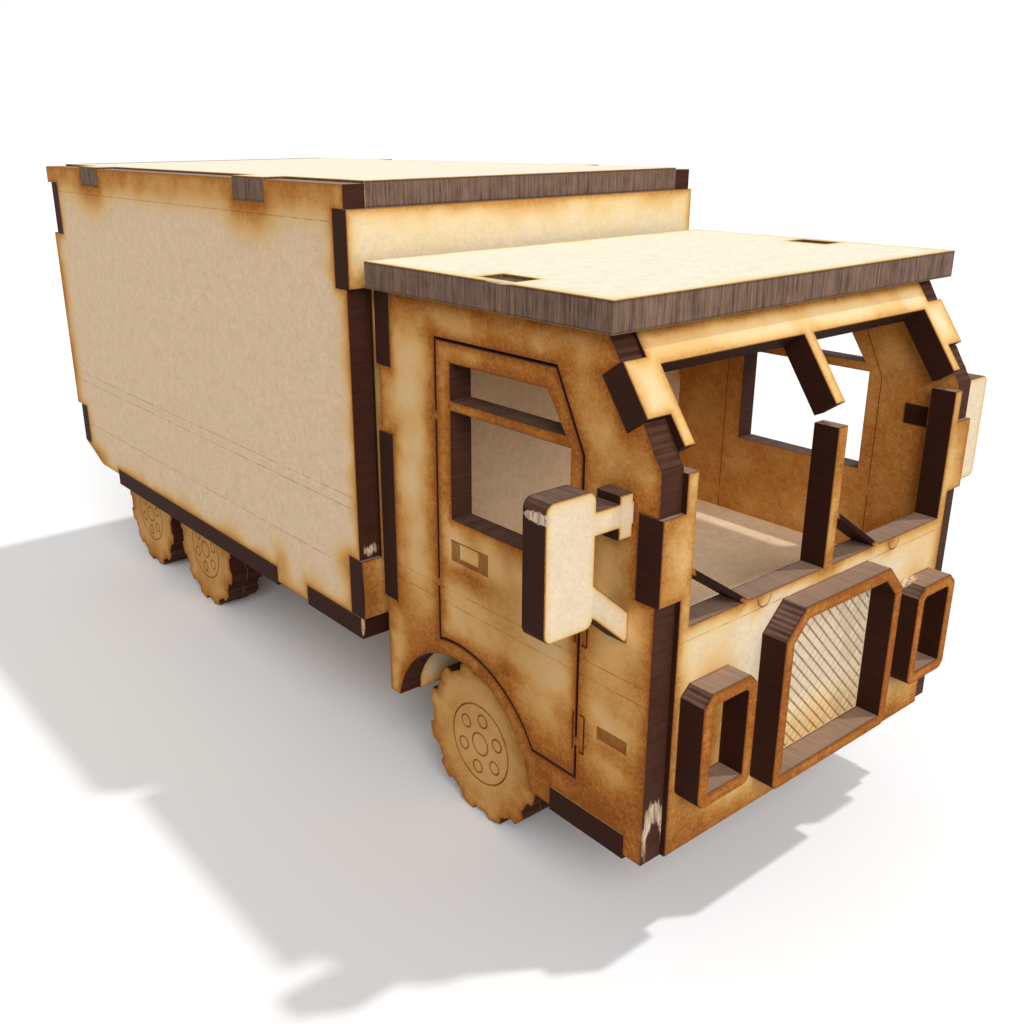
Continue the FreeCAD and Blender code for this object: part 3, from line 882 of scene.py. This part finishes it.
def finish_tree():
    """Stores the distances and the tone, then sinks the grooves and the pockets."""
    t = Tree("laser_finish", "groove_half groove_deep pocket_deep", geometry="Geometry",
             cut_lines="Object", engraved_lines="Object", fine_lines="Object", tone="Vector",
             inward="Vector")
    given = t.given
    shape, far = given["geometry"], {}
    for name in ("cut", "engraved", "fine"):
        source = t.add("GeometryNodeObjectInfo", {"transform_space": "ORIGINAL"},
                       Object=given[name + "_lines"])
        near = t.add("GeometryNodeProximity", {"target_element": "EDGES"},
                     i0=source.outputs["Geometry"])
        far[name] = near.outputs["Distance"]
        shape = t.add("GeometryNodeStoreNamedAttribute", {"data_type": "FLOAT"}, Geometry=shape,
                      Name=name, Value=t.math("DIVIDE", far[name], MM))
    shape = t.add("GeometryNodeStoreNamedAttribute", {"data_type": "FLOAT_VECTOR"},
                  Geometry=shape, Name="tone", Value=given["tone"])
    groove = t.add("ShaderNodeMapRange", Value=far["engraved"], From_Min=0.0,
                   From_Max=given["groove_half"], To_Min=given["groove_deep"], To_Max=0.0)
    sunk = t.add("GeometryNodeInputNamedAttribute", {"data_type": "FLOAT"}, Name="pocket")
    floor = t.math("MULTIPLY", sunk.outputs["Attribute"], given["pocket_deep"])
    sink = t.add("ShaderNodeVectorMath", {"operation": "SCALE"}, i0=given["inward"],
                 Scale=t.math("MAXIMUM", groove, floor))
    return t.finish(t.add("GeometryNodeSetPosition", Geometry=shape, Offset=sink))


laser_finish = finish_tree()
print("laser finish nodes", len(laser_finish.nodes))

# %% [markdown]
# ### One finished piece
# The twin takes its plate's place and body, and the plate is hidden. A piece without engraved
# lines measures to one line far away, which leaves it clean.

# %% One finished piece
far_away = lines_object("no_lines", [[(0, 0, 5), (0, 0, 6)]])


def sheet_piece(node_name, gap, tone, **marks):
    """Replaces one CAD plate by its dense, finished twin; tone is smoke, veil and paleness."""
    axes = sheet_axes(nodes[node_name])
    loops, front = outline_loops(nodes[node_name], *axes)
    name = node_name + "_board"
    mesh, lines = dense_sheet(name, loops, axes, front, gap, **marks)
    sources = {key: lines_object(name + "_" + key, value) if value else far_away
               for key, value in lines.items()}
    made = run_tree(mesh, name, laser_finish, groove_half=groove_half * MM,
                    groove_deep=groove_deep * tone[0] ** 2 * MM, pocket_deep=pocket_deep * MM,
                    tone=tone, inward=tuple(-axes[0]), material=board,
                    **{key + "_lines": source for key, source in sources.items()})
    for source in sources.values():
        if source is not far_away:
            bpy.data.objects.remove(source)
    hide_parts(node_name)
    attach(made, body_of_node[node_name])
    return made


print("lines far away", len(far_away.data.edges))

# %% [markdown]
# ## Engraved patterns
# Two patterns repeat by rule, and a node tree makes each: the wheel's hub, two circles and a ring
# of nuts, and the grille's crossing diagonals. Their edges are read back as lines to engrave.

# %% Hub pattern
hub_sizes = {"rim_radius": 5.25, "bore_radius": 1.47, "nut_radius": 0.85, "nut_circle": 3.4}
nuts, first_nut = 6, math.radians(38)
rim_corners, bore_corners, nut_corners = 44, 18, 12


def hub_tree():
    """Rim and bore circles, and nuts spread evenly round a circle."""
    t = Tree("hub_pattern", "rim_radius bore_radius nut_radius nut_circle first_nut", nuts="Int")
    given = t.given
    join = t.add("GeometryNodeJoinGeometry")

    def circle(radius, points):
        ring = t.add("GeometryNodeMeshCircle", Vertices=points, Radius=radius)
        return ring.outputs["Mesh"]

    seats = t.add("GeometryNodeTransform", Geometry=circle(given["nut_circle"], given["nuts"]),
                  Rotation=t.add("ShaderNodeCombineXYZ", Z=given["first_nut"]))
    ring_of_nuts = t.add("GeometryNodeInstanceOnPoints", Points=seats,
                         Instance=circle(given["nut_radius"], nut_corners))
    for part in (circle(given["rim_radius"], rim_corners),
                 circle(given["bore_radius"], bore_corners), ring_of_nuts.outputs["Instances"]):
        t.tree.links.new(part, join.inputs[0])
    return t.finish(join)


hub_pattern = hub_tree()
print("hub nodes", len(hub_pattern.nodes))

# %% Grille pattern
mesh_angle, mesh_lines = math.radians(45), 32
mesh_sizes = {"pitch": 1.03, "length": 60}


def diagonal_tree():
    """Parallel lines at one angle, centred on the origin."""
    t = Tree("diagonals", "pitch length angle", lines="Int")
    given = t.given
    span = t.math("MULTIPLY", given["pitch"], t.math("SUBTRACT", given["lines"], 1.0))
    low = t.add("ShaderNodeCombineXYZ", Y=t.math("MULTIPLY", span, -0.5))
    step = t.add("ShaderNodeCombineXYZ", Y=given["pitch"])
    rows = t.add("GeometryNodeMeshLine", Count=given["lines"], Start_Location=low, Offset=step)
    half = t.add("ShaderNodeCombineXYZ", X=t.math("MULTIPLY", given["length"], -0.5))
    whole = t.add("ShaderNodeCombineXYZ", X=given["length"])
    stroke = t.add("GeometryNodeMeshLine", Count=2, Start_Location=half, Offset=whole)
    laid = t.add("GeometryNodeInstanceOnPoints", Points=rows, Instance=stroke)
    turn = t.add("ShaderNodeCombineXYZ", Z=given["angle"])
    return t.finish(t.add("GeometryNodeTransform", Geometry=laid, Rotation=turn))


diagonals = diagonal_tree()
print("diagonals nodes", len(diagonals.nodes))

# %% [markdown]
# ### Patterns as lines
# A pattern is engraved, not laid on top, so its edges become lines for the sheet's own mesh. The
# tree runs on an empty mesh, and the made object is removed once its edges are read.

# %% Patterns as lines


def pattern(name, tree, centre, sizes, **inputs):
    """The pattern's edges as lines in sheet millimetres, moved to a centre."""
    inputs.update({key: size * MM for key, size in sizes.items()})
    made = run_tree(bpy.data.meshes.new(name), name, tree, material=board, **inputs)
    points = np.array([v.co[:2] for v in made.data.vertices]) / MM + np.array(centre)
    lines = [(points[e.vertices[0]], points[e.vertices[1]]) for e in made.data.edges]
    bpy.data.objects.remove(made)
    return lines


def hub_lines(centre, facing):
    """facing is 1 for a wheel on the right-hand side and -1 for one on the left."""
    return pattern("hub", hub_pattern, centre, hub_sizes, nuts=nuts, first_nut=first_nut * facing)


def grille_lines(centre, angle):
    """One of the grille's two sets of diagonals."""
    return pattern("grille", diagonals, centre, mesh_sizes, lines=mesh_lines, angle=angle)


print("hub radius", hub_sizes["rim_radius"], "grille pitch", mesh_sizes["pitch"], "mm")

# %% [markdown]
# ## Marks on each piece
# Deep lines are engraved as grooves, and fine ones only brown the board. Places are in millimetres
# from the lower front corner of the cab's right-hand wall, as a ruler on the model gives them.

# %% Lines and pockets on the side walls
y0, z0 = wall_corner.y, wall_corner.z
cab_back_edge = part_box("cab_side_right")[1].y / MM - y0
box_low, box_high = (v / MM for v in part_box("box_side_right"))
grille_low, grille_high = (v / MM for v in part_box("grille_frame"))


def mark(y, z):
    """A place on a side wall, on its sheet's own axes."""
    return (y + y0, z + z0)


def rectangle(low, high):
    ring = corners(low, high)
    return list(zip(ring, np.roll(ring, -1, 0)))


def cab_side_marks():
    """Two plates by the door's front edge, two trim lines, the handle and the side lamp."""
    plate_front, plate_back, plate_height = 8.4, 10.0, 4.35
    deep = []
    for foot in (8.8, 21.1):
        deep += rectangle(mark(plate_front, foot), mark(plate_back, foot + plate_height))
    fine = [(mark(0, z), mark(cab_back_edge, z)) for z in (19.7, 17.9)]
    handle = (mark(23.6, 23.4), mark(30.3, 26.1), mark(25.5, 24.15), mark(28.5, 25.8))
    side_lamp = (mark(2.5, 11.5), mark(6.75, 13.1))
    return {"deep": deep, "fine": fine, "pockets": [handle, side_lamp]}


def box_side_marks():
    """The lines that run the whole length of the box."""
    heights = (59.8, 27.0, 25.45, 17.15)
    return {"fine": [((box_low.y, z + z0), (box_high.y, z + z0)) for z in heights]}


print("cab wall", {key: len(found) for key, found in cab_side_marks().items()})

# %% Lines on the front panel and the wheels


def front_marks():
    """The line under the sill, the wipers' feet and the grille's mesh."""
    foot_height, foot_wide, foot_high, foot_steps = 25.2, 1.1, 1.2, 8
    deep = []
    for x in (-10.95, 13.05):
        turn = [math.pi * (1 + i / foot_steps) for i in range(foot_steps + 1)]
        foot = [(x + foot_wide * math.cos(t), foot_height + foot_high * math.sin(t) + z0)
                for t in turn]
        deep += list(zip(foot, foot[1:]))
    rim, clip, margin = 1.4, 2.2, 0.1
    low, high = grille_low + Vector((rim, 0, rim)), grille_high - Vector((rim, 0, rim))
    window = np.array([(low.x, low.z), (high.x, low.z), (high.x, high.z - clip),
                       (high.x - clip, high.z), (low.x + clip, high.z), (low.x, high.z - clip)])
    deep += clipped(grille_lines(window.mean(0), -mesh_angle), [window], margin)
    fine = clipped(grille_lines(window.mean(0), mesh_angle), [window], margin)
    sill_line, line_end = 24.0, 24.0
    fine.append(((-line_end, sill_line + z0), (line_end, sill_line + z0)))
    return {"deep": deep, "fine": fine}


def wheel_marks(node_name):
    """The hub, centred on the wheel."""
    low, high = (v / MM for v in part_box(node_name))
    facing = 1 if "right" in node_name else -1
    return {"deep": hub_lines(((low.y + high.y) / 2, (low.z + high.z) / 2), facing)}


def marks_on(node_name):
    """The lines and pockets of any piece, if it has some."""
    if "wheel" in node_name:
        return wheel_marks(node_name) if node_name.endswith("outer") else {}
    makers = {"cab_side": cab_side_marks, "box_side": box_side_marks, "cab_front": front_marks}
    return next((make() for word, make in makers.items() if word in node_name), {})


print("grille frame", [round(v, 2) for v in grille_high - grille_low], "mm")

# %% [markdown]
# ### Smoke spots, a few of them painted shade
# The smoke gathered in corners, under the roof and round small cut-outs. An even mist would look
# dyed, so each spot is a soft ellipsoid. A spot on a wall has its place, two radii and a strength.
# Low on the box's front wall beside the cab, and inside the lamp frames, the spots paint shade
# as well as smoke.

# %% Smoke and shade spots
cab_side_smoke = {
    "under the roof": (20, 52.5, 30, 4.0, 0.34), "front post": (12, 43, 3.5, 8, 0.34),
    "rear post": (33, 36, 2.2, 14, 0.32), "over the window": (20, 44.5, 12, 3.0, 0.40),
    "back edge": (38, 12, 6, 10, 0.20), "over the wheel": (30, 10.5, 9, 3.2, 0.56),
    "ahead of the wheel": (14, 5.5, 6, 6, 0.56), "front corner": (5, 3, 8, 6, 0.64),
    "front edge": (1.0, 14, 1.3, 10, 0.28), "windscreen slant": (3, 40, 3.5, 8, 0.20),
    "under the handle": (27, 22.2, 4.2, 1.5, 0.58), "under the lamp": (4.6, 10.8, 2.8, 1.0, 0.55),
    "door foot": (21, 13.5, 4, 1.6, 0.50), "low on the door": (21, 19, 7, 6, 0.26),
    "over the lamp": (4, 16, 4, 5, 0.20)}
box_side_smoke = {
    "under the roof": (95, 62.4, 300, 2.6, 0.42), "front joint": (68.4, 59.4, 6.5, 3.0, 0.36),
    "rear joint": (125, 59.4, 6.5, 3.0, 0.36), "rear edge": (145, 35, 2.6, 24, 0.36),
    "second notch": (66.6, 12, 2.2, 2.6, 0.45), "front notch": (49.5, 17, 2.2, 2.8, 0.36),
    "low rear": (138, 11.5, 5, 2, 0.36), "front edge": (46, 54, 2.0, 4, 0.32)}
front_smoke = {
    "lower edge": (0, 0.4, 90, 3.2, 0.66), "post foot": (0, 26, 2.2, 2.0, 0.50),
    "middle post": (0, 38, 2, 9, 0.50), "low in the grille": (0, 6.5, 9, 3, 0.22),
    "right corner": (-22.5, 5, 3.5, 5, 0.55), "left corner": (22.5, 5, 3.5, 5, 0.30),
    "right wiper": (-12, 24.9, 1.4, 1.3, 0.55), "left wiper": (12.4, 24.9, 1.4, 1.3, 0.55)}
# inside each lamp frame the panel gets smoke with painted shade of the frame's recess
front_smoke_and_shade_both_sides = {
    "outer post": (26.5, 33, 4, 8, 0.52), "side edge": (24, 14, 1.6, 9, 0.45),
    "smoke and painted shade in the lamp frame": (18.6, 12, 3.3, 7.5, 0.85)}
cab_wall_x, box_wall_x, panel_y, box_front_y, screen_y = 27, 29.3, -0.6, 45.4, 6.7
arm_step, arm_top, arm_fall = 1.4, 31.5, 0.91
print("spots on a cab wall", len(cab_side_smoke), "and on a box wall", len(box_side_smoke))

# %% Smoke and shade spots on each piece


def on_side_wall(smoke, x, thick):
    """Spots on a wall that faces sideways, from rows of: along, height, two radii, strength."""
    return [((x, y, z), (thick, wide, high), level) for y, z, wide, high, level in smoke.values()]


def on_front_wall(smoke, y, side=1):
    """Spots on a wall that faces forward, from rows of: across, height, two radii, strength."""
    return [((x * side, y, z), (wide, 2, high), level)
            for x, z, wide, high, level in smoke.values()]


wiper_arms = [((x + arm_step * i, 0, arm_top - arm_fall * i), (1.1, 4, 1.1), 0.99)
              for x in (-23.1, 0.0) for i in range(1, 7)]
smoke_and_shade_spots = {
    "cab_front_panel": on_front_wall(front_smoke, panel_y) + wiper_arms
    + on_front_wall(front_smoke_and_shade_both_sides, panel_y, side=-1)
    + on_front_wall(front_smoke_and_shade_both_sides, panel_y),
    "windscreen_frame": [((0, screen_y, 52.6), (90, 2, 1.5), 0.35)],
    # the two low spots beside the cab's back are smoke with painted shade cast by the cab
    "box_front_wall": on_front_wall({
        "top": (0, 62.4, 90, 2.6, 0.13), "low right, smoke and painted shade": (-28.5, 14, 3, 8, 0.88),
        "high right": (-27.5, 52.5, 2, 2, 0.40), "low left, smoke and painted shade": (28.5, 14, 3, 8, 0.88),
    }, box_front_y),
}
for name, side in (("right", -1), ("left", 1)):
    x = cab_wall_x * side
    inner_face = ((x - sheet * side, 22, 30), (1.3, 90, 90), 0.52)
    smoke_and_shade_spots["cab_side_" + name] = on_side_wall(cab_side_smoke, x, 1.6) + [inner_face]
    smoke_and_shade_spots["box_side_" + name] = on_side_wall(box_side_smoke, box_wall_x * side, 2)
print("smoke spots", {key: len(found) for key, found in smoke_and_shade_spots.items()})

# %% [markdown]
# ### Where a splinter is gone
# Eight places lost a splinter when the pieces were snapped out. Each is an ellipsoid, a place and
# three radii, with a 1 at the end where only the rim is torn.

# %% Where a splinter is gone
chips = {
    "cab_side_right": ((-25.4, 0.0, 3.4), (1.6, 1.4, 3.9), 1),
    "lamp_frame_left": ((16.6, -0.9, 19.2), (2.0, 1.0, 0.8), 0),
    "lamp_frame_right": ((-21.5, -2.6, 16.0), (0.5, 1.4, 1.6), 0),
    "mirror_right": ((-38.0, 4.0, 38.6), (1.1, 2.3, 0.62), 0),
    "cab_roof": ((-28.6, 20.2, 55.9), (0.5, 2.4, 0.3), 0),
    "box_roof": ((-26.6, 45.9, 62.7), (0.4, 0.45, 2.6), 0),
    "box_side_right": ((-27.6, 45.3, 20.0), (1.8, 0.9, 1.3), 0),
    "box_floor": ((-29.3, 45.7, 9.9), (0.45, 0.6, 1.9), 0),
}
print("splinters gone", len(chips))

# %% [markdown]
# ## All flat pieces
# How brown a piece is depends on the power it was cut with and on where it lay in the smoke. So
# each kind has its tone (smoke, veil and paleness), the grey of its charred walls and how much
# paler its top edges are, from dusting and painted light from above. Small pieces get a finer mesh,
# which keeps their narrow halo smooth.

# %% Tones of the pieces
tones = {
    "cab_side": (1.0, 0.12, 0.0), "box_side": (0.55, 0.0, 0.0), "cab_front": (0.50, 0.02, 0.40),
    "windscreen": (0.45, 0.07, 0.45), "cab_roof": (0.25, 0.02, 1.0), "box_roof": (0.25, 0.02, 1.0),
    "wheel": (0.70, 0.36, 0.0), "mirror": (0.05, 0.03, 0.40), "grille": (1.0, 0.45, 0.0),
    "lamp": (1.0, 0.45, 0.0), "box_front": (0.5, 0.09, 0.60), "nose_strip": (1.0, 0.65, 0.0),
    "cab_back": (0.5, 0.0, 0.10), "cab_floor": (0.3, 0.05, 0.10),
}
soots = {"cab_roof": 0.74, "box_roof": 0.70, "box_side": 0.10, "cab_side": 0.18, "wheel": 0.15}
# how much paler the char is on edges that face up, from dusting and painted light from above
dusts = {"wheel": 0.0, "cab_side": 0.45, "mirror": 0.65, "cab_roof": 0.5}
usual_tone = (0.6, 0.2, 0.0)
small_words = ("wheel", "mirror", "lamp", "grille", "windscreen")
fine_gap, wide_gap = 0.6, 1.0


def listed(table, name, other):
    """The entry whose key is part of the name."""
    return next((value for key, value in table.items() if key in name), other)


print("tones", len(tones))

# %% All flat pieces
total = 0
shift = np.array([0, y0, z0])
for node_name in sorted(nodes):
    if node_name.endswith("_axle"):
        continue
    marks = marks_on(node_name)
    marks["spots"] = [(np.array(centre) + shift, radii, strength)
                      for centre, radii, strength in smoke_and_shade_spots.get(node_name, [])]
    if node_name in chips:
        centre, radii, hollow = chips[node_name]
        marks["chip"] = (np.array(centre) + shift, radii, hollow)
    gap = fine_gap if any(word in node_name for word in small_words) else wide_gap
    piece = sheet_piece(node_name, gap, listed(tones, node_name, usual_tone),
                        soot=listed(soots, node_name, 0.0), dust=listed(dusts, node_name, 1.0),
                        **marks)
    total += len(piece.data.polygons)
    print(node_name, "faces", len(piece.data.polygons))
print("faces in all", total)
bpy.data.objects.remove(far_away)

# %% [markdown]
# ## Axles
# The axles are round dowels of pale, straight-grained wood. They keep the solid's own mesh, and
# noise stretched along the rod makes the grain.

# %% Dowel material
dowel, dowel_shader, s = new_material("dowel_wood")
grain_scale, along_the_rod = 2600.0, 0.06
dark_grain, pale_grain = (0.48515, 0.26636, 0.10702), (0.71569, 0.47932, 0.24620)
spot = s.node("ShaderNodeTexCoord", out=3)
grain = s.noise(s.stretch(spot, (along_the_rod, 1.0, 1.0)), grain_scale, 3.0, 0.6)
tone = s.blend(grain.step(0.35, 0.65), dark_grain, pale_grain)
set_inputs(dowel.node_tree, dowel_shader, Base_Color=tone, Roughness=0.6)
for node_name, node in nodes.items():
    if node_name.endswith("_axle"):
        node.data.materials.clear()
        node.data.materials.append(dowel)
        print(node_name, "is a dowel")

# %% [markdown]
# ## Stage
# A plain pale floor under three plain lights: an even sky, a wide soft fill from the camera's side
# and a smaller key from the other side, high in front, which throws a bright band through the left
# door's windows onto the cab's floor. The floor and the sky look white to the camera, and send
# less light back to the model than they show.

# %% Floor
half = 1.5
floor_to_model, floor_to_camera = (0.40, 0.39, 0.38), (0.86, 0.86, 0.86)


def background_ray(s):
    """1 for what the camera sees, straight, in gloss or through something clear."""
    rays = s.node("ShaderNodeLightPath", out="Is Camera Ray")
    for kind in ("Is Glossy Ray", "Is Transmission Ray"):
        rays = s.math("MAXIMUM", rays, s.node("ShaderNodeLightPath", out=kind))
    return rays


floor_mesh = bpy.data.meshes.new("floor")
floor_mesh.from_pydata([(x, y, 0) for x, y in corners((-half, -half), (half, half))], [],
                       [(0, 1, 2, 3)])
floor = placed("floor", floor_mesh)
floor_material, floor_shader, s = new_material("floor")
tone = s.blend(background_ray(s), floor_to_model, floor_to_camera)
set_inputs(floor_material.node_tree, floor_shader, Base_Color=tone, Roughness=0.9)
floor_mesh.materials.append(floor_material)
print("floor", half * 2, "m square")

# %% [markdown]
# ### Sky and lamps
# The sky is an even light. The two lamps are suns, whose light is the same all over the model and
# whose angle sets how soft the shadows' edges are.

# %% Sky and lamps
world = bpy.data.worlds.new("world")
bpy.context.scene.world = world
world.use_nodes = True
sky_level = 0.36
strength = background_ray(Shade(world.node_tree, None)) * (1 - sky_level) + sky_level
set_inputs(world.node_tree, world.node_tree.nodes["Background"], Color=(1, 1, 1, 1),
           Strength=strength)


def lamp(name, direction, level, width):
    """A far lamp in a direction; a white face square on to it is as bright as the level."""
    light = bpy.data.lights.new(name, "SUN")
    light.energy, light.angle = level * math.pi, math.radians(width)
    made = placed(name, light)
    made.rotation_euler = (-Vector(direction)).to_track_quat("-Z", "Y").to_euler()


lamp("key", (0.41, -0.25, 1.00), 0.50, 2.5)
lamp("fill", (-0.42, -0.75, 0.55), 0.78, 40)
print("lamps", sorted(light.name for light in bpy.data.lights))
bpy.context.scene.view_settings.view_transform = "Standard"

# %% [markdown]
# ## Sizes
# The box round the solids, in metres.

# %% Sizes of the solids
print("cad", [[round(c, 4) for c in v] for v in cad_box])
